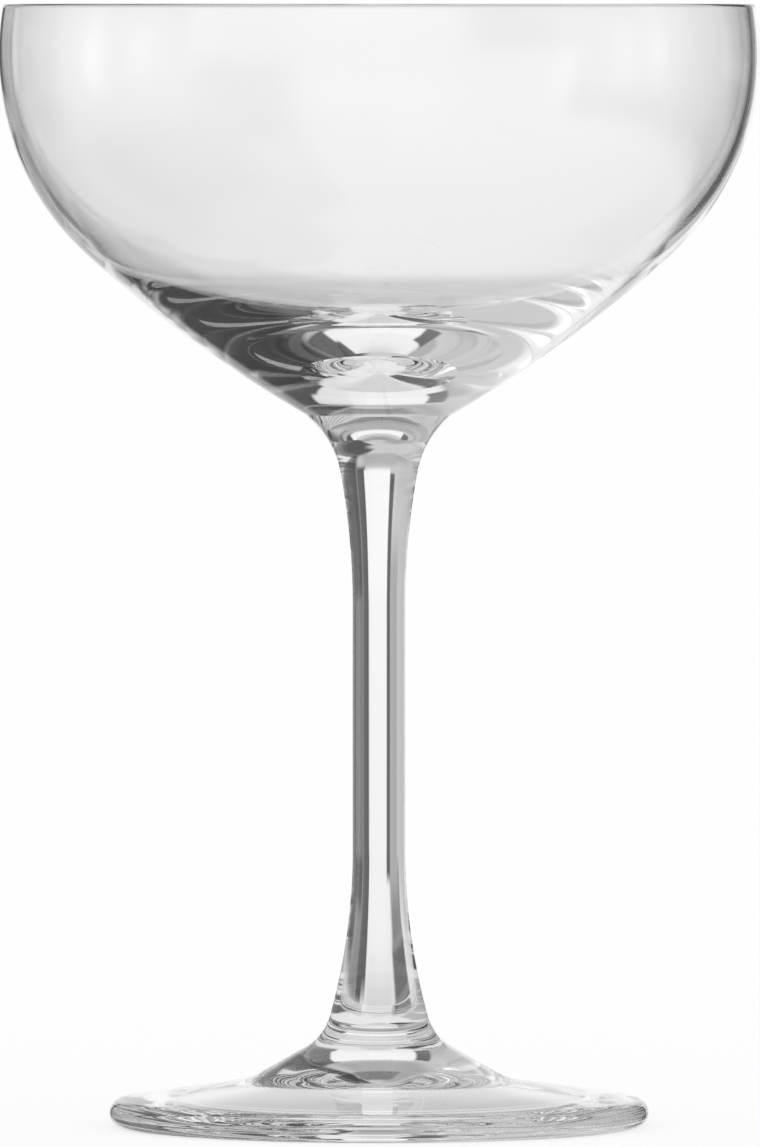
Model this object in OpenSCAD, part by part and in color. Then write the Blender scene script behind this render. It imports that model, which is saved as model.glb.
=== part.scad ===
// Coupe glass: a wide, shallow bowl on a slim stem with a round foot.
// Three pieces of clear glass, fused face to face. All lengths are in millimetres.
// The origin is in the middle of the foot, on the surface that it stands on. +Z is up.
// Every piece is one outline of arcs and straight runs, turned about the Z axis.

/* [Bowl] */
// Widest diameter of the bowl, a little below the rim
bowl_d = 104; // [96:1:114]
// Height of the rim above the widest level
lip_h = 6.8; // [3:0.2:10]
// Radius of the curve of the bowl's side
side_r = 37; // [33:0.5:40]
// How far the side's curve turns below the widest level, in degrees
side_turn = 48; // [43:1:52]
// Radius of the long shallow curve from the side down to the stem
base_r = 180; // [130:5:300]
// Thickness of the wall at the widest level and at the rim
wall = 1.3; // [0.9:0.1:2]
// How far the inner side's curve is set outwards, which thickens the wall downwards
wall_growth = 1.5; // [0.5:0.1:2.5]
// Depth of solid glass under the middle of the bowl
base_glass = 8.3; // [6:0.1:10]

/* [Stem] */
// Length of the stem from the foot's seat to the bowl's seat
stem_l = 89.8; // [70:0.2:120]
// Diameter of the thin middle of the stem
stem_d = 7.2; // [6:0.1:9]
// Diameter of the disc where the stem is fused to the bowl
bowl_seat_d = 19.8; // [18:0.2:24]
// Diameter of the disc where the stem is fused to the foot
foot_seat_d = 32; // [28:0.5:36]
// Radius of the long easing curve under the bowl
top_ease_r = 100; // [70:5:120]
// Lean of the stem's side where that easing ends, in degrees
top_ease_lean = 10.5; // [8:0.5:12]
// Radius of the short flare under the bowl
top_flare_r = 13; // [9:0.5:15]
// Lean of the stem's side where it meets the bowl, in degrees
top_flare_lean = 46; // [40:1:48]
// Radius of the long easing curve over the foot
low_ease_r = 85; // [60:5:110]
// Lean of the stem's side where that easing ends, in degrees
low_ease_lean = 15.5; // [10:0.5:18]
// Radius of the short flare over the foot
low_flare_r = 7.4; // [5:0.2:10]
// Lean of the stem's side where it meets the foot, in degrees
low_flare_lean = 60.5; // [52:0.5:68]

/* [Foot] */
// Diameter of the foot
foot_d = 73.7; // [66:0.1:84]
// Thickness of the foot's rounded edge
foot_edge = 3.9; // [2.6:0.1:5]
// Height of the seat for the stem
foot_h = 7.5; // [6.8:0.1:9]
// Radius of the hollow curve from the seat to the foot's slope
toe_r = 12; // [8:0.5:16]
// Inner diameter of the flat ring that the glass stands on
ring_d = 57; // [50:0.5:62]
// Depth of the hollow under the foot
hollow_h = 5; // [3:0.1:6]

/* [Hidden] */
glass_colour = "azure";

// Fineness of the turned surfaces, and of the arcs in their outlines
round_facets = 72;
arc_step_angle = 5;
least_arc_steps = 5;

bowl_r = bowl_d / 2;
stem_r = stem_d / 2;
bowl_seat_r = bowl_seat_d / 2;
foot_seat_r = foot_seat_d / 2;
foot_r = foot_d / 2;
edge_r = foot_edge / 2;
ring_r = ring_d / 2;

// A point at a given angle and radius from a centre, as [distance from the axis, height]
function on_arc(centre, radius, angle) = centre + radius * [cos(angle), sin(angle)];

// Points along an arc. With skip = 1 the first one is left out, where the last arc ended on it
function arc(centre, radius, from, to, skip = 0) =
    let (steps = max(least_arc_steps, ceil(abs(to - from) / arc_step_angle)))
    [for (i = [skip : steps]) on_arc(centre, radius, from + (to - from) * i / steps)];

// The bowl's outline is measured from its widest level.
// Outside: the side's curve, then the base's, which starts along it and ends at the seat
side_c = [bowl_r - side_r, 0];
base_c = on_arc(side_c, side_r - base_r, -side_turn);
base_turn = acos((bowl_seat_r - base_c[0]) / base_r);
seat_drop = base_r * sin(base_turn) - base_c[1];
rim_turn = asin((lip_h - wall / 2) / (side_r - wall / 2));

// Inside: the side's curve, then one centred on the axis, which starts along it
inner_r = side_r - wall - wall_growth;
inner_c = side_c + [wall_growth, 0];
floor_z = base_glass - seat_drop;
floor_r = (inner_r ^ 2 - inner_c[0] ^ 2 - floor_z ^ 2) / (2 * (floor_z + inner_r));
floor_c = [0, floor_z + floor_r];
floor_turn = atan2(floor_c[1], inner_c[0]);

function bowl_outline() = concat(
    [[0, -seat_drop]],
    arc(base_c, base_r, -base_turn, -side_turn),
    arc(side_c, side_r, -side_turn, rim_turn, 1),
    arc(on_arc(side_c, side_r - wall / 2, rim_turn), wall / 2, rim_turn, rim_turn + 180, 1),
    arc(side_c, side_r - wall, rim_turn, 0, 1),
    arc(inner_c, inner_r, 0, -floor_turn, 1),
    arc(floor_c, floor_r, -floor_turn, -90, 1)
);

// One end of the stem, from its thin middle at height 0 down to a seat: an easing,
// a flare that starts along it, and a straight run out to the seat
function flare_c(ease_r, ease_lean, flare_r) =
    on_arc([stem_r + ease_r, 0], ease_r - flare_r, 180 + ease_lean);

function flare_drop(ease_r, ease_lean, flare_r, flare_lean, seat_r) =
    let (last = on_arc(flare_c(ease_r, ease_lean, flare_r), flare_r, 180 + flare_lean))
    (seat_r - last[0]) / tan(flare_lean) - last[1];

function flare_outline(ease_r, ease_lean, flare_r, flare_lean, seat_r) = concat(
    arc([stem_r + ease_r, 0], ease_r, 180, 180 + ease_lean),
    arc(flare_c(ease_r, ease_lean, flare_r), flare_r, 180 + ease_lean, 180 + flare_lean, 1),
    [[seat_r, -flare_drop(ease_r, ease_lean, flare_r, flare_lean, seat_r)]]
);

bowl_seat_z = foot_h + stem_l;
top_drop = flare_drop(top_ease_r, top_ease_lean, top_flare_r, top_flare_lean, bowl_seat_r);
low_drop = flare_drop(low_ease_r, low_ease_lean, low_flare_r, low_flare_lean, foot_seat_r);
top_end = flare_outline(top_ease_r, top_ease_lean, top_flare_r, top_flare_lean, bowl_seat_r);
low_end = flare_outline(low_ease_r, low_ease_lean, low_flare_r, low_flare_lean, foot_seat_r);

function stem_outline() = concat(
    [[0, bowl_seat_z]],
    [for (i = [len(top_end) - 1 : -1 : 0]) [top_end[i][0], bowl_seat_z - top_drop - top_end[i][1]]],
    [for (p = low_end) [p[0], foot_h + low_drop + p[1]]],
    [[0, foot_h]]
);

// The foot's toe curve starts along the stem's side and runs into a straight slope,
// which ends along the rounded edge. The underside is a dome inside a flat ring
toe_c = on_arc([foot_seat_r, foot_h], -toe_r, 180 + low_flare_lean);
edge_c = [foot_r - edge_r, edge_r];
toe_to_edge = edge_c - toe_c;
foot_slope = atan2(-toe_to_edge[1], toe_to_edge[0]) - asin((toe_r + edge_r) / norm(toe_to_edge));
dome_r = (ring_r ^ 2 + hollow_h ^ 2) / (2 * hollow_h);
dome_turn = asin(ring_r / dome_r);

function foot_outline() = concat(
    arc([0, hollow_h - dome_r], dome_r, 90, 90 - dome_turn),
    arc(edge_c, edge_r, -90, 90 - foot_slope),
    arc(toe_c, toe_r, 270 - foot_slope, 180 + low_flare_lean),
    [[0, foot_h]]
);

module turned(points) {
    rotate_extrude($fn = round_facets) polygon(points);
}

module bowl() {
    color(glass_colour) translate([0, 0, bowl_seat_z + seat_drop]) turned(bowl_outline());
}

module stem() {
    color(glass_colour) turned(stem_outline());
}

module foot() {
    color(glass_colour) turned(foot_outline());
}

bowl();
stem();
foot();
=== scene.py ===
"""Coupe glass in clear glass: a wide bowl, a slim flared stem and a round foot, in a pale studio.

Every piece is one outline of arcs, turned about the Z axis. Outlines are worked out in
millimetres, with the same driving sizes as the solids, and meshes are made in metres.
"""

from __future__ import annotations

import logging
import math
from dataclasses import dataclass, field
from enum import Enum

import bpy
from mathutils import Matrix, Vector


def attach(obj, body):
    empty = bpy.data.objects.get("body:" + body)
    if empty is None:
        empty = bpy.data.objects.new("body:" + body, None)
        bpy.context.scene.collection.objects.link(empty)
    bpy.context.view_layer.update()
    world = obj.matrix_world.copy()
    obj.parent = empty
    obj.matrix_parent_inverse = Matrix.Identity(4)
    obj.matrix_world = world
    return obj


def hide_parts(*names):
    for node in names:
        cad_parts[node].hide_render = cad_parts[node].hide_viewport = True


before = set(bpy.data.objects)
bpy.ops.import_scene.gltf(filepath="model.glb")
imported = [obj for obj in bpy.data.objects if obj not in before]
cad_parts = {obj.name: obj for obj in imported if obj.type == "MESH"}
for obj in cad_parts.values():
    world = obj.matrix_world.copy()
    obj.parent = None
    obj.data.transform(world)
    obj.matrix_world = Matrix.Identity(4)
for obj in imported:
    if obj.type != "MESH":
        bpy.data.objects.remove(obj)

log = logging.getLogger("coupe")

MM = 0.001
PHOTO_WIDTH = 760
PHOTO_HEIGHT = 1147
HALF_TURN = 180.0
WHITE = (1.0, 1.0, 1.0, 1.0)
GLASS_BOUNCES = 64
CLEAR_BOUNCES = 32


class Seam(Enum):
    """Whether a point of an outline lies on a fused joint."""

    OPEN = 0.0
    FUSED = 1.0


@dataclass(frozen=True)
class Point:
    """A point of a turned outline, in millimetres."""

    r: float
    z: float
    seam: Seam = Seam.OPEN

    def moved(self, dr: float, dz: float) -> Point:
        """Returns the point moved outwards by dr and up by dz."""
        return Point(self.r + dr, self.z + dz, self.seam)

    def flipped(self) -> Point:
        """Returns the point mirrored in the level z = 0."""
        return Point(self.r, -self.z, self.seam)


@dataclass(frozen=True)
class Arc:
    """A stretch of a circle in the plane of an outline.

    Angles are in degrees, from the outward direction, anticlockwise.
    """

    centre: Point
    radius: float
    start: float
    end: float

    STEP_ANGLE = 4.0
    STEP_LENGTH = 0.7
    LEAST_STEPS = 8

    def at(self, angle: float) -> Point:
        """Returns the point of the circle at an angle in degrees."""
        turn = math.radians(angle)
        return self.centre.moved(self.radius * math.cos(turn), self.radius * math.sin(turn))

    def points(self, skip: int = 0) -> list[Point]:
        """Works out points along the arc, close enough for a smooth curve.

        Args:
            skip: how many of the first points are left out.

        Returns:
            The points, in order from the arc's start to its end.
        """
        sweep = self.end - self.start
        length = math.radians(abs(sweep)) * self.radius
        steps = max(
            self.LEAST_STEPS,
            math.ceil(abs(sweep) / self.STEP_ANGLE),
            math.ceil(length / self.STEP_LENGTH),
        )
        return [self.at(self.start + sweep * i / steps) for i in range(skip, steps + 1)]


def add_node(
    tree: bpy.types.NodeTree,
    kind: str,
    settings: dict[str, object] | None,
    inputs: dict[str | int, object] | None,
) -> bpy.types.Node:
    """Adds a node to a tree.

    Args:
        tree: the tree of a material, of the world or of Geometry Nodes.
        kind: the node's type.
        settings: properties of the node, set before its sockets.
        inputs: a number, a colour or an output socket for each input, by name or index.

    Returns:
        The new node.
    """
    made = tree.nodes.new(kind)
    for name, setting in (settings or {}).items():
        setattr(made, name, setting)
    for name, value in (inputs or {}).items():
        if isinstance(value, bpy.types.NodeSocket):
            tree.links.new(value, made.inputs[name])
        else:
            made.inputs[name].default_value = value
    return made


class Value:
    """A shader socket with arithmetic: an expression on values adds its Math nodes."""

    def __init__(self, graph: ShaderGraph, socket: bpy.types.NodeSocket | None) -> None:
        """Wraps an output socket of a node in graph, or none for a node without outputs."""
        self.graph = graph
        self.socket = socket

    def _math(self, operation: str, *values: Value | float) -> Value:
        """Adds a Math node and returns its result."""
        return self.graph.node("ShaderNodeMath", {"operation": operation}, dict(enumerate(values)))

    def __add__(self, other: Value | float) -> Value:
        """Returns self + other."""
        return self._math("ADD", self, other)

    __radd__ = __add__

    def __sub__(self, other: Value | float) -> Value:
        """Returns self - other."""
        return self._math("SUBTRACT", self, other)

    def __rsub__(self, other: Value | float) -> Value:
        """Returns other - self."""
        return self._math("SUBTRACT", other, self)

    def __mul__(self, other: Value | float) -> Value:
        """Returns self * other."""
        return self._math("MULTIPLY", self, other)

    __rmul__ = __mul__

    def __abs__(self) -> Value:
        """Returns the value without its sign."""
        return self._math("ABSOLUTE", self)

    def arctan2(self, other: Value) -> Value:
        """Returns the angle of the point (other, self), in radians."""
        return self._math("ARCTAN2", self, other)

    def arcsin(self) -> Value:
        """Returns the arc sine, in radians."""
        return self._math("ARCSINE", self)

    def least(self, other: Value | float) -> Value:
        """Returns the smaller of two values."""
        return self._math("MINIMUM", self, other)

    def wrapped(self, low: float, high: float) -> Value:
        """Returns the value brought into the range from low to high by whole turns of it."""
        return self._math("WRAP", self, high, low)

    def eased(self, start: float, end: float, low: float = 0.0, high: float = 1.0) -> Value:
        """Adds a smooth step.

        Args:
            start: the value at which the step starts.
            end: the value at which it ends, which may be the smaller of the two.
            low: the result at the start.
            high: the result at the end.

        Returns:
            The eased value.
        """
        return self.graph.node(
            "ShaderNodeMapRange",
            {"interpolation_type": "SMOOTHSTEP"},
            {"Value": self, "From Min": start, "From Max": end, "To Min": low, "To Max": high},
        )

    def toward(self, level: float, mask: Value) -> Value:
        """Returns self where the mask is 0 and level where it is 1."""
        return self + mask * (level - self)


class ShaderGraph:
    """The node tree of a material or of the world, emptied and ready to build in."""

    FIRST_COLOUR = 6
    SECOND_COLOUR = 7
    MIXED_COLOUR = 2

    def __init__(self, owner: bpy.types.Material | bpy.types.World) -> None:
        """Takes over the owner's node tree.

        Args:
            owner: the material or world, whose nodes are cleared.
        """
        owner.use_nodes = True
        self.tree = owner.node_tree
        self.tree.nodes.clear()

    def node(
        self,
        kind: str,
        settings: dict[str, object] | None = None,
        inputs: dict[str | int, object] | None = None,
        output: str | int = 0,
    ) -> Value:
        """Adds a node and returns one of its outputs.

        Args:
            kind: the node's type.
            settings: properties of the node, set before its sockets.
            inputs: a number, colour or Value for each socket, by name or index.
            output: name or index of the output to return.

        Returns:
            The wrapped output, which holds no socket where the node has no outputs.
        """
        plain = {k: v.socket if isinstance(v, Value) else v for k, v in (inputs or {}).items()}
        made = add_node(self.tree, kind, settings, plain)
        return Value(self, made.outputs[output] if len(made.outputs) else None)

    def outputs(self, kind: str, *names: str) -> list[Value]:
        """Adds a node without inputs and returns its named outputs."""
        made = add_node(self.tree, kind, None, None)
        return [Value(self, made.outputs[name]) for name in names]

    def output(self, kind: str, shader: Value) -> None:
        """Feeds a shader to the tree's output node of the given type."""
        self.node(kind, None, {"Surface": shader})


@dataclass(frozen=True)
class ClearGlass:
    """Clear, colourless, polished glass with the faint waves that the hot glass sets in."""

    name: str = "clear_glass"
    ior: float = 1.52
    tint: tuple[float, float, float, float] = (0.985, 0.995, 0.99, 1.0)
    tint_far: tuple[float, float, float, float] = (0.99, 0.99, 0.985, 1.0)
    tint_scale: float = 20.0
    polish: float = 0.0
    polish_worn: float = 0.012
    polish_scale: float = 90.0
    polish_detail: float = 3.0
    worn_from: float = 0.55
    worn_to: float = 0.8
    wave_scale: float = 26.0
    wave_height: float = 0.00035
    wave_stretch: tuple[float, float, float] = (1.0, 1.0, 0.45)
    soft_detail: float = 1.0

    def material(self) -> bpy.types.Material:
        """Makes the material: clear glass with faint waves, tints and uneven polish.

        Returns:
            The material, made anew.
        """
        made = bpy.data.materials.new(self.name)
        graph = ShaderGraph(made)
        place = graph.node("ShaderNodeTexCoord", output="Object")
        stretched = graph.node(
            "ShaderNodeVectorMath", {"operation": "MULTIPLY"}, {0: place, 1: self.wave_stretch}
        )
        waves, tints, worn = (
            graph.node("ShaderNodeTexNoise", None, {"Vector": where, "Scale": scale, "Detail": detail})
            for where, scale, detail in (
                (stretched, self.wave_scale, self.soft_detail),
                (place, self.tint_scale, self.soft_detail),
                (place, self.polish_scale, self.polish_detail),
            )
        )
        tint = graph.node(
            "ShaderNodeMix",
            {"data_type": "RGBA"},
            {"Factor": tints, graph.FIRST_COLOUR: self.tint, graph.SECOND_COLOUR: self.tint_far},
            graph.MIXED_COLOUR,
        )
        normal = graph.node(
            "ShaderNodeBump", None, {"Strength": 1.0, "Distance": self.wave_height, "Height": waves}
        )
        shader = graph.node(
            "ShaderNodeBsdfPrincipled",
            None,
            {
                "Base Color": tint,
                "Roughness": worn.eased(self.worn_from, self.worn_to, self.polish, self.polish_worn),
                "Normal": normal,
                "IOR": self.ior,
                "Transmission Weight": 1.0,
            },
        )
        graph.output("ShaderNodeOutputMaterial", shader)
        return made


@dataclass(frozen=True)
class FusedJoint:
    """The disc where two pieces are fused: the glass runs on through it, unseen."""

    name: str = "fused_joint"

    def material(self) -> bpy.types.Material:
        """Makes the material, which lets everything through.

        Returns:
            The material, made anew.
        """
        made = bpy.data.materials.new(self.name)
        graph = ShaderGraph(made)
        graph.output("ShaderNodeOutputMaterial", graph.node("ShaderNodeBsdfTransparent"))
        return made


@dataclass(frozen=True)
class GlassFinishes:
    """The materials that the pieces share."""

    glass: bpy.types.Material
    joint: bpy.types.Material


class TurnedSurface:
    """The Geometry Nodes tree that turns an outline about the Z axis into a closed skin."""

    FACETS = "Facets"
    SHARP = "Sharp angle"
    MERGE = "Merge distance"
    GLASS = "Glass"
    JOINT = "Joint"
    SEAM = "seam"
    FUSED_LEVEL = 0.99

    def __init__(self) -> None:
        """Builds the tree once, for every piece."""
        self.tree = bpy.data.node_groups.new("turned_surface", "GeometryNodeTree")
        face = self.tree.interface
        face.new_socket("Outline", in_out="INPUT", socket_type="NodeSocketGeometry")
        for name, kind in (
            (self.FACETS, "NodeSocketInt"),
            (self.SHARP, "NodeSocketFloat"),
            (self.MERGE, "NodeSocketFloat"),
            (self.GLASS, "NodeSocketMaterial"),
            (self.JOINT, "NodeSocketMaterial"),
        ):
            face.new_socket(name, in_out="INPUT", socket_type=kind)
        face.new_socket("Skin", in_out="OUTPUT", socket_type="NodeSocketGeometry")
        self._build()

    def _node(
        self,
        kind: str,
        settings: dict[str, object] | None = None,
        inputs: dict[str | int, object] | None = None,
    ) -> bpy.types.Node:
        """Adds a node to the tree."""
        return add_node(self.tree, kind, settings, inputs)

    def _math(self, operation: str, *values: object) -> bpy.types.NodeSocket:
        """Adds a Math node and returns its result."""
        made = self._node("ShaderNodeMath", {"operation": operation}, dict(enumerate(values)))
        return made.outputs[0]

    def _build(self) -> None:
        """Fills the tree: a grid of rows and facets, bent round the axis and closed.

        The grid is 1 wide and 1 high about its middle, so half is added to count from 0.
        """
        given = self._node("NodeGroupInput").outputs
        rows = self._node(
            "GeometryNodeAttributeDomainSize", {"component": "MESH"}, {"Geometry": given["Outline"]}
        ).outputs["Point Count"]
        grid = self._node(
            "GeometryNodeMeshGrid",
            None,
            {
                "Size X": 1.0,
                "Size Y": 1.0,
                "Vertices X": self._math("ADD", given[self.FACETS], 1.0),
                "Vertices Y": rows,
            },
        ).outputs["Mesh"]
        flat = self._node("GeometryNodeInputPosition").outputs[0]
        across = self._node("ShaderNodeSeparateXYZ", None, {0: flat}).outputs
        turn = self._math("MULTIPLY", self._math("ADD", across["X"], 0.5), math.tau)
        last_row = self._math("SUBTRACT", rows, 1.0)
        row = self._math("MULTIPLY", self._math("ADD", across["Y"], 0.5), last_row)
        row = self._math("ROUND", row)
        outline = self._node("GeometryNodeInputPosition").outputs[0]
        at_row = self._node(
            "GeometryNodeSampleIndex",
            {"data_type": "FLOAT_VECTOR", "domain": "POINT"},
            {"Geometry": given["Outline"], "Value": outline, "Index": row},
        ).outputs[0]
        seam = self._node(
            "GeometryNodeInputNamedAttribute", {"data_type": "FLOAT"}, {"Name": self.SEAM}
        ).outputs["Attribute"]
        seam_at_row = self._node(
            "GeometryNodeSampleIndex",
            {"data_type": "FLOAT", "domain": "POINT"},
            {"Geometry": given["Outline"], "Value": seam, "Index": row},
        ).outputs[0]
        marked = self._node(
            "GeometryNodeStoreNamedAttribute",
            {"data_type": "FLOAT", "domain": "POINT"},
            {"Geometry": grid, "Name": self.SEAM, "Value": seam_at_row},
        ).outputs[0]
        level = self._node("ShaderNodeSeparateXYZ", None, {0: at_row}).outputs
        bent = self._node(
            "ShaderNodeCombineXYZ",
            None,
            {
                "X": self._math("MULTIPLY", level["X"], self._math("COSINE", turn)),
                "Y": self._math("MULTIPLY", level["X"], self._math("SINE", turn)),
                "Z": level["Z"],
            },
        ).outputs[0]
        skin = self._node(
            "GeometryNodeSetPosition", None, {"Geometry": marked, "Position": bent}
        ).outputs[0]
        skin = self._node(
            "GeometryNodeMergeByDistance", None, {"Geometry": skin, "Distance": given[self.MERGE]}
        ).outputs[0]
        skin = self._node(
            "GeometryNodeSetShadeSmooth", {"domain": "FACE"}, {"Geometry": skin, "Shade Smooth": True}
        ).outputs[0]
        bend = self._node("GeometryNodeInputMeshEdgeAngle").outputs["Unsigned Angle"]
        skin = self._node(
            "GeometryNodeSetShadeSmooth",
            {"domain": "EDGE"},
            {
                "Geometry": skin,
                "Selection": self._math("GREATER_THAN", bend, given[self.SHARP]),
                "Shade Smooth": False,
            },
        ).outputs[0]
        skin = self._node("GeometryNodeRealizeInstances", None, {"Geometry": skin}).outputs[0]
        skin = self._node(
            "GeometryNodeSetMaterial", None, {"Geometry": skin, "Material": given[self.GLASS]}
        ).outputs[0]
        seam = self._node(
            "GeometryNodeInputNamedAttribute", {"data_type": "FLOAT"}, {"Name": self.SEAM}
        ).outputs["Attribute"]
        skin = self._node(
            "GeometryNodeSetMaterial",
            None,
            {
                "Geometry": skin,
                "Selection": self._math("GREATER_THAN", seam, self.FUSED_LEVEL),
                "Material": given[self.JOINT],
            },
        ).outputs[0]
        skin = self._node(
            "GeometryNodeRemoveAttribute", None, {"Geometry": skin, "Name": self.SEAM}
        ).outputs[0]
        self._node("NodeGroupOutput", None, {"Skin": skin})

    def skin(
        self,
        name: str,
        outline: list[Point],
        finishes: GlassFinishes,
        facets: int,
        sharp_angle: float,
        merge: float,
    ) -> bpy.types.Object:
        """Turns an outline into a plain mesh object at the origin.

        Args:
            name: the piece's name.
            outline: points in millimetres, from the axis anticlockwise back to the axis.
            finishes: the materials for the outer skin and the fused discs.
            facets: how many facets go round.
            sharp_angle: the bend in degrees past which an edge stays crisp.
            merge: how far apart, in metres, points are still one.

        Returns:
            The finished object, with no modifier.
        """
        line = bpy.data.meshes.new(name + "_outline")
        line.from_pydata(
            [(p.r * MM, 0.0, p.z * MM) for p in outline],
            [(i, i + 1) for i in range(len(outline) - 1)],
            [],
        )
        seam = line.attributes.new(self.SEAM, "FLOAT", "POINT")
        seam.data.foreach_set("value", [p.seam.value for p in outline])
        piece = bpy.data.objects.new(name, line)
        bpy.context.scene.collection.objects.link(piece)
        turned = piece.modifiers.new("turned", "NODES")
        turned.node_group = self.tree
        values = {
            self.FACETS: facets,
            self.SHARP: math.radians(sharp_angle),
            self.MERGE: merge,
            self.GLASS: finishes.glass,
            self.JOINT: finishes.joint,
        }
        for item in self.tree.interface.items_tree:
            if item.in_out == "INPUT" and item.name in values:
                turned[item.identifier] = values[item.name]
        bpy.context.view_layer.update()
        seen = piece.evaluated_get(bpy.context.evaluated_depsgraph_get())
        mesh = bpy.data.meshes.new_from_object(seen)
        mesh.name = name
        piece.modifiers.clear()
        piece.data = mesh
        bpy.data.meshes.remove(line)
        return piece


@dataclass
class GlassPiece:
    """A piece of the glass: an outline, turned, dressed and set on the frame."""

    node: str
    facets: int = 320
    sharp_angle: float = 20.0
    merge: float = 1e-6

    def outline(self) -> list[Point]:
        """Returns the outline in millimetres."""
        raise NotImplementedError

    def build(self, lathe: TurnedSurface, finishes: GlassFinishes) -> bpy.types.Object:
        """Makes the piece in place of its solid.

        Args:
            lathe: the tree that turns outlines.
            finishes: the materials of the glass.

        Returns:
            The piece, dressed, riding on the object's one body.
        """
        piece = lathe.skin(
            self.node + "_clear", self.outline(), finishes, self.facets, self.sharp_angle, self.merge
        )
        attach(piece, "root")
        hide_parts(self.node)
        return piece


@dataclass
class Flare:
    """One end of the stem: a long easing, a short flare and a straight run out to a seat."""

    ease_r: float
    ease_lean: float
    flare_r: float
    flare_lean: float
    seat_r: float

    def outline(self, stem_r: float) -> list[Point]:
        """Returns points from the thin middle, at height 0, down and out to the seat.

        Args:
            stem_r: radius of the stem's thin middle.

        Returns:
            The points, the last of them on the seat's rim.
        """
        ease = Arc(Point(stem_r + self.ease_r, 0.0), self.ease_r, 180.0, 180.0 + self.ease_lean)
        centre = Arc(ease.centre, self.ease_r - self.flare_r, 0.0, 0.0).at(180.0 + self.ease_lean)
        flare = Arc(centre, self.flare_r, 180.0 + self.ease_lean, 180.0 + self.flare_lean)
        last = flare.at(flare.end)
        run = (self.seat_r - last.r) / math.tan(math.radians(self.flare_lean))
        return ease.points() + flare.points(1) + [Point(self.seat_r, last.z - run)]


@dataclass
class Foot(GlassPiece):
    """The round foot: a shallow cone with a rounded edge and a hollow under it."""

    node: str = "foot"
    diameter: float = 73.7
    edge: float = 3.9
    height: float = 7.5
    toe_r: float = 12.0
    seat_d: float = 32.0
    seat_lean: float = 60.5
    ring_d: float = 57.0
    hollow: float = 5.0

    def outline(self) -> list[Point]:
        """Works out the foot's outline.

        Returns:
            The points, from the hollow round the edge to the seat.
        """
        edge_r, ring_r, seat_r = self.edge / 2, self.ring_d / 2, self.seat_d / 2
        toe_centre = Arc(Point(seat_r, self.height), self.toe_r, 0.0, 0.0).at(self.seat_lean)
        edge_centre = Point(self.diameter / 2 - edge_r, edge_r)
        dr, dz = edge_centre.r - toe_centre.r, edge_centre.z - toe_centre.z
        fall = math.atan2(-dz, dr) - math.asin((self.toe_r + edge_r) / math.hypot(dr, dz))
        slope = math.degrees(fall)
        dome_r = (ring_r**2 + self.hollow**2) / (2 * self.hollow)
        dome_turn = math.degrees(math.asin(ring_r / dome_r))
        dome = Arc(Point(0.0, self.hollow - dome_r), dome_r, 90.0, 90.0 - dome_turn)
        rounded = Arc(edge_centre, edge_r, -90.0, 90.0 - slope)
        toe = Arc(toe_centre, self.toe_r, 270.0 - slope, 180.0 + self.seat_lean).points()
        seat = [Point(toe[-1].r, toe[-1].z, Seam.FUSED), Point(0.0, self.height, Seam.FUSED)]
        return dome.points() + rounded.points() + toe[:-1] + seat


@dataclass
class Stem(GlassPiece):
    """The slim solid stem, drawn thin in the middle and flared at both ends."""

    node: str = "stem"
    foot_z: float = 7.5
    length: float = 89.8
    diameter: float = 7.2
    top: Flare = field(
        default_factory=lambda: Flare(
            ease_r=100.0, ease_lean=10.5, flare_r=13.0, flare_lean=46.0, seat_r=9.9
        )
    )
    low: Flare = field(
        default_factory=lambda: Flare(
            ease_r=85.0, ease_lean=15.5, flare_r=7.4, flare_lean=60.5, seat_r=16.0
        )
    )

    def outline(self) -> list[Point]:
        """Works out the stem's outline.

        Returns:
            The points, from the foot's seat up to the bowl's.
        """
        top = self.top.outline(self.diameter / 2)
        low = self.low.outline(self.diameter / 2)
        bowl_z = self.foot_z + self.length
        low = [p.moved(0.0, self.foot_z - low[-1].z) for p in reversed(low)]
        top = [p.flipped().moved(0.0, bowl_z + top[-1].z) for p in top]
        seat_r, low_r = top[-1].r, low[0].r
        foot_seat = [Point(0.0, self.foot_z, Seam.FUSED), Point(low_r, self.foot_z, Seam.FUSED)]
        bowl_seat = [Point(seat_r, bowl_z, Seam.FUSED), Point(0.0, bowl_z, Seam.FUSED)]
        return foot_seat + low[1:] + top[:-1] + bowl_seat


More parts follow.
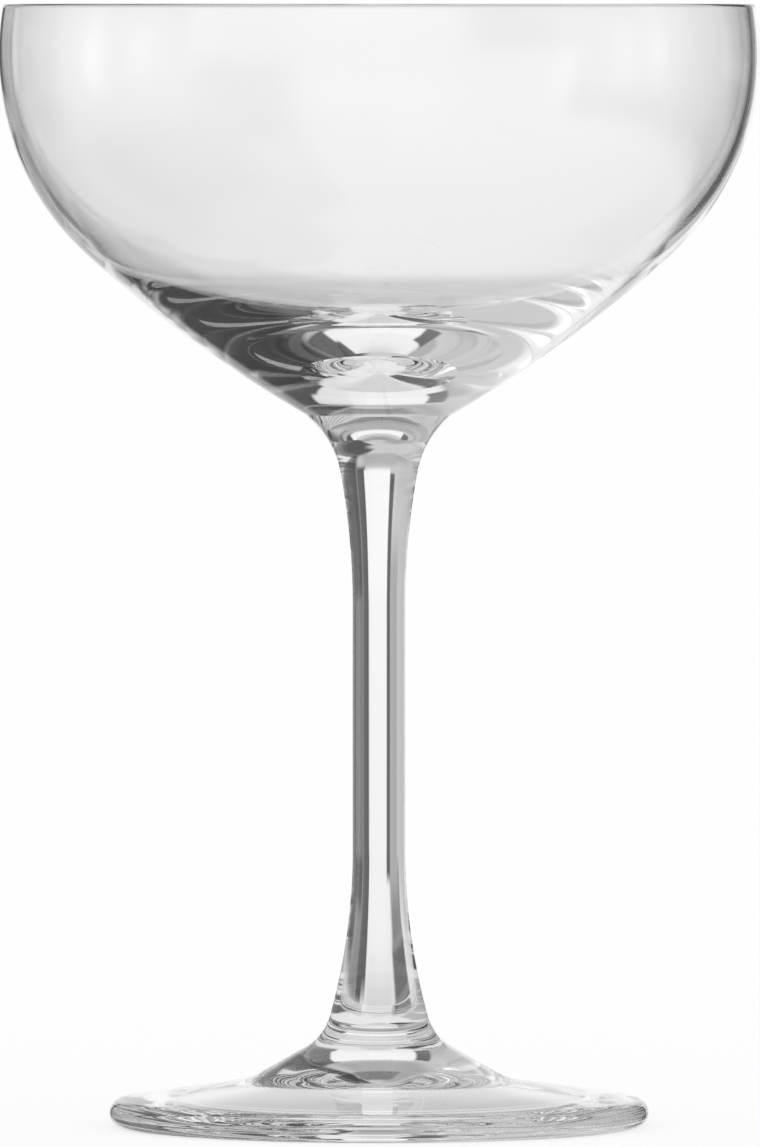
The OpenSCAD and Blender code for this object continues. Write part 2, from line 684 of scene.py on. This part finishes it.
@dataclass
class Bowl(GlassPiece):
    """The wide bowl: a round side, a long shallow base and a fire-polished rim."""

    node: str = "bowl"
    seat_z: float = 97.3
    seat_d: float = 19.8
    diameter: float = 104.0
    lip: float = 6.8
    side_r: float = 37.0
    side_turn: float = 48.0
    base_r: float = 180.0
    wall: float = 1.3
    wall_growth: float = 1.5
    base_glass: float = 8.3

    def outline(self) -> list[Point]:
        """Works out the bowl's outline.

        Returns:
            The points, from the seat up the outside and down the inside.
        """
        side_centre = Point(self.diameter / 2 - self.side_r, 0.0)
        base_centre = Arc(side_centre, self.side_r - self.base_r, 0.0, 0.0).at(-self.side_turn)
        base_turn = math.acos((self.seat_d / 2 - base_centre.r) / self.base_r)
        drop = self.base_r * math.sin(base_turn) - base_centre.z
        half = self.wall / 2
        rim_turn = math.degrees(math.asin((self.lip - half) / (self.side_r - half)))
        inner_r = self.side_r - self.wall - self.wall_growth
        inner_centre = side_centre.moved(self.wall_growth, 0.0)
        floor_z = self.base_glass - drop
        floor_r = (inner_r**2 - inner_centre.r**2 - floor_z**2) / (2 * (floor_z + inner_r))
        floor_centre = Point(0.0, floor_z + floor_r)
        floor_turn = math.degrees(math.atan2(floor_centre.z, inner_centre.r))
        rim_centre = Arc(side_centre, self.side_r - half, 0.0, 0.0).at(rim_turn)
        base = Arc(base_centre, self.base_r, -math.degrees(base_turn), -self.side_turn).points()
        points = (
            [Point(0.0, -drop, Seam.FUSED), Point(base[0].r, base[0].z, Seam.FUSED)]
            + base[1:]
            + Arc(side_centre, self.side_r, -self.side_turn, rim_turn).points(1)
            + Arc(rim_centre, half, rim_turn, rim_turn + 180.0).points(1)
            + Arc(side_centre, self.side_r - self.wall, rim_turn, 0.0).points(1)
            + Arc(inner_centre, inner_r, 0.0, -floor_turn).points(1)
            + Arc(floor_centre, floor_r, -floor_turn, -90.0).points(1)
        )
        return [p.moved(0.0, self.seat_z + drop) for p in points]


@dataclass(frozen=True)
class StudioCard:
    """A soft-edged white, grey or dark card in the studio, by the direction it stands in.

    Pairs are in degrees, across and then up. Across is from straight behind the glass,
    and right is positive.
    """

    place: tuple[float, float]
    half_size: tuple[float, float]
    softness: tuple[float, float]
    level: float

    def over(self, level: Value, azimuth: Value, elevation: Value) -> Value:
        """Lays the card over what the studio shows so far.

        Args:
            level: brightness of what is behind the card.
            azimuth: azimuth of the direction looked in, in degrees.
            elevation: its elevation, in degrees.

        Returns:
            The brightness with the card in it.
        """
        off_side = (azimuth - self.place[0]).wrapped(-HALF_TURN, HALF_TURN)
        aside = abs(off_side) - self.half_size[0]
        above = abs(elevation - self.place[1]) - self.half_size[1]
        across = aside.eased(self.softness[0], -self.softness[0])
        inside = across * above.eased(self.softness[1], -self.softness[1])
        return level.toward(self.level, inside)


@dataclass
class Studio:
    """A pale studio: white backdrop and floor, a large soft box and cards round the glass.

    A card lies over the ones before it. Clear glass shows little but its surroundings, so
    these cards draw its edges, its dark crescent and the strips in its stem.
    """

    RAYS = ("Is Camera Ray", "Is Glossy Ray", "Is Transmission Ray")

    backdrop: float = 1.0
    horizon_softness: float = 12.0
    room_high: float = 0.58
    room_low: float = 0.84
    plain_light: float = 1.0
    floor_size: float = 60.0
    floor_glow: float = 0.8
    floor_colour: tuple[float, float, float, float] = (0.95, 0.95, 0.95, 1.0)
    cards: tuple[StudioCard, ...] = (
        # ceiling left
        StudioCard((-25.0, 46.0), (16.0, 22.0), (8.0, 8.0), 0.4),
        # grey gap left
        StudioCard((-48.0, 2.0), (15.0, 18.0), (4.0, 4.0), 0.58),
        # grey room behind
        StudioCard((172.0, 15.0), (42.0, 27.0), (18.0, 9.0), 0.65),
        # grey behind the soft box
        StudioCard((-138.0, 0.0), (16.0, 36.0), (14.0, 8.0), 0.42),
        # grey under the soft box
        StudioCard((-98.0, -40.0), (32.0, 16.0), (8.0, 6.0), 0.5),
        # soft box
        StudioCard((-92.0, -1.0), (27.0, 14.0), (8.0, 8.0), 1.0),
        # core of the soft box
        StudioCard((-82.0, -1.0), (5.0, 9.0), (5.0, 8.0), 1.7),
        # lamp behind, high
        StudioCard((168.0, 40.0), (14.0, 14.0), (6.0, 8.0), 0.5),
        # floor ahead
        StudioCard((0.0, -56.0), (46.0, 46.0), (5.0, 8.0), 0.84),
        # floor near
        StudioCard((0.0, -44.0), (13.0, 28.0), (5.0, 5.0), 0.66),
        # dark right
        StudioCard((72.0, 28.0), (46.0, 50.0), (4.0, 6.0), 0.05),
        # dark right, behind
        StudioCard((132.0, 40.0), (20.0, 38.0), (8.0, 6.0), 0.06),
        # patch in the dark right
        StudioCard((99.0, -1.0), (5.0, 9.0), (6.0, 6.0), 0.5),
        # right gap
        StudioCard((40.0, -2.5), (12.0, 1.5), (1.5, 1.2), 0.16),
        # grey under the right gap
        StudioCard((35.0, -16.0), (9.0, 6.0), (2.0, 2.0), 0.22),
        # right strip
        StudioCard((22.5, -13.0), (3.5, 9.0), (1.0, 2.0), 0.06),
        # right of the window
        StudioCard((20.5, -1.0), (6.0, 19.0), (1.0, 3.0), 0.09),
        # dark left, low
        StudioCard((-27.0, -41.0), (11.5, 20.0), (2.0, 3.0), 0.08),
        # dark left, middle
        StudioCard((-27.0, -17.5), (11.0, 4.0), (2.0, 1.5), 0.16),
        # dark left, upper
        StudioCard((-27.0, -9.5), (9.5, 5.0), (2.0, 2.0), 0.24),
        # grey left, sliver
        StudioCard((-25.0, -2.0), (8.0, 6.0), (1.5, 3.0), 0.42),
        # ceiling ahead
        StudioCard((0.0, 31.0), (18.0, 12.0), (5.0, 4.0), 0.42),
        # dark above the ceiling ahead
        StudioCard((3.0, 52.0), (21.0, 9.0), (4.0, 3.0), 0.2),
        # window, low
        StudioCard((0.0, -4.0), (15.0, 11.0), (0.8, 6.0), 0.91),
        # left of the window
        StudioCard((-14.5, 3.0), (3.0, 9.0), (0.8, 1.0), 0.1),
        # window
        StudioCard((2.2, 6.5), (14.2, 8.5), (0.8, 2.5), 0.98),
    )

    def surround(self) -> None:
        """Makes the world: white for the camera, the studio by direction for the glass."""
        world = bpy.data.worlds.new("studio")
        bpy.context.scene.world = world
        graph = ShaderGraph(world)
        looked = graph.node("ShaderNodeTexCoord", output="Generated")
        split = graph.node("ShaderNodeSeparateXYZ", None, {0: looked}).socket.node
        x, y, z = (Value(graph, split.outputs[name]) for name in ("X", "Y", "Z"))
        azimuth = x.arctan2(y) * math.degrees(1.0)
        elevation = z.arcsin() * math.degrees(1.0)
        soft = self.horizon_softness
        level = elevation.eased(-soft, soft, self.room_low, self.room_high)
        for card in self.cards:
            level = card.over(level, azimuth, elevation)
        camera, glossy, through = graph.outputs("ShaderNodeLightPath", *self.RAYS)
        glass = (glossy + through).least(1.0)
        shown = level * glass + self.plain_light * (1.0 - glass)
        shown = shown.toward(self.backdrop, camera)
        shader = graph.node("ShaderNodeBackground", None, {"Color": WHITE, "Strength": shown})
        graph.output("ShaderNodeOutputWorld", shader)

    def floor(self) -> bpy.types.Object:
        """Makes the plain pale floor, which glows for the eye and keeps the shadow.

        Returns:
            The floor.
        """
        half = self.floor_size / 2
        mesh = bpy.data.meshes.new("floor")
        square = [(-half, -half, 0.0), (half, -half, 0.0), (half, half, 0.0), (-half, half, 0.0)]
        mesh.from_pydata(square, [], [(0, 1, 2, 3)])
        floor = bpy.data.objects.new("floor", mesh)
        bpy.context.scene.collection.objects.link(floor)
        material = bpy.data.materials.new("floor_white")
        graph = ShaderGraph(material)
        camera, glossy, through = graph.outputs("ShaderNodeLightPath", *self.RAYS)
        seen = (camera + glossy + through).least(1.0)
        lit = graph.node("ShaderNodeBsdfDiffuse", None, {"Color": self.floor_colour})
        glow = graph.node("ShaderNodeEmission", None, {"Color": WHITE, "Strength": self.backdrop})
        mixed = graph.node("ShaderNodeMixShader", None, {0: seen * self.floor_glow, 1: lit, 2: glow})
        graph.output("ShaderNodeOutputMaterial", mixed)
        mesh.materials.append(material)
        floor.visible_glossy = False
        floor.visible_transmission = False
        return floor


@dataclass
class PhotoCamera:
    """The camera of the photograph: far off, at the height of the rim, tilted a little down."""

    distance: float = 2.358
    height: float = 0.15307
    focal_pixels: float = 17277.0
    horizon_row: float = 6.0
    axis_column: float = 379.0
    sensor: float = 36.0
    clip_end: float = 100.0

    def place(self) -> bpy.types.Object:
        """Makes the camera and sets it as the scene's.

        Returns:
            The camera object.
        """
        data = bpy.data.cameras.new("camera")
        data.sensor_width = self.sensor
        data.lens = self.sensor * self.focal_pixels / PHOTO_HEIGHT
        data.clip_end = self.clip_end
        camera = bpy.data.objects.new("camera", data)
        bpy.context.scene.collection.objects.link(camera)
        camera.location = (0.0, -self.distance, self.height)
        down = (PHOTO_HEIGHT / 2 - self.horizon_row) / self.focal_pixels
        aside = (PHOTO_WIDTH / 2 - self.axis_column) / self.focal_pixels
        camera.rotation_mode = "QUATERNION"
        camera.rotation_quaternion = Vector((aside, 1.0, -down)).to_track_quat("-Z", "Y")
        bpy.context.scene.camera = camera
        return camera


def main() -> None:
    """Builds the glass and its studio, and reports each piece."""
    logging.basicConfig(level=logging.INFO, format="%(name)s: %(message)s")
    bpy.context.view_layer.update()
    scene = bpy.context.scene
    scene.view_settings.view_transform = "Standard"
    scene.cycles.max_bounces = GLASS_BOUNCES
    scene.cycles.transmission_bounces = GLASS_BOUNCES
    scene.cycles.glossy_bounces = GLASS_BOUNCES
    scene.cycles.transparent_max_bounces = CLEAR_BOUNCES
    PhotoCamera().place()
    studio = Studio()
    studio.surround()
    studio.floor()
    finishes = GlassFinishes(ClearGlass().material(), FusedJoint().material())
    lathe = TurnedSurface()
    for part in (Foot(), Stem(), Bowl()):
        piece = part.build(lathe, finishes)
        log.info("%s: %d faces, stands for %s", piece.name, len(piece.data.polygons), part.node)


if __name__ == "__main__":
    main()
